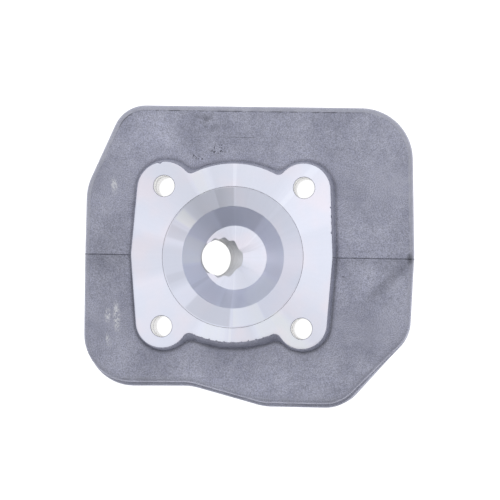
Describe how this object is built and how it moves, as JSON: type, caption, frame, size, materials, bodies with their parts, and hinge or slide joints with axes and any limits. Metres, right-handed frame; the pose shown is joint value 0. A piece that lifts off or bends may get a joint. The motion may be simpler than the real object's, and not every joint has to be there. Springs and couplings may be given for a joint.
{
  "type": "two-stroke cylinder head",
  "caption": "Air-cooled two-stroke cylinder head: finned aluminium die casting with a machined gasket face, turned squish chamber, leaning plug hole and stud holes.",
  "frame": {"origin": "centre of the combustion chamber's mouth, on the bore axis, in the plane of the gasket face", "axes": "+Z out of the gasket face, along the bore axis, towards the cylinder; the spark plug leans towards -X; -Y is the front edge, with the hollow and the slanted corner"},
  "size_m": [0.1135, 0.1032, 0.0368],
  "materials": {
    "cast_aluminium": "blasted die casting",
    "machined_aluminium": "turned"
  },
  "bodies": {
    "root": {"gasket_flange": "machined_aluminium", "combustion_chamber": "machined_aluminium", "plug_well": "cast_aluminium", "stud_column_front_left": "cast_aluminium", "stud_column_front_right": "cast_aluminium", "stud_column_rear_left": "cast_aluminium", "stud_column_rear_right": "cast_aluminium", "fin_1": "cast_aluminium", "fin_2": "cast_aluminium", "fin_3": "cast_aluminium", "fin_4": "cast_aluminium", "fin_5": "cast_aluminium"}
  },
  "joints": []
}
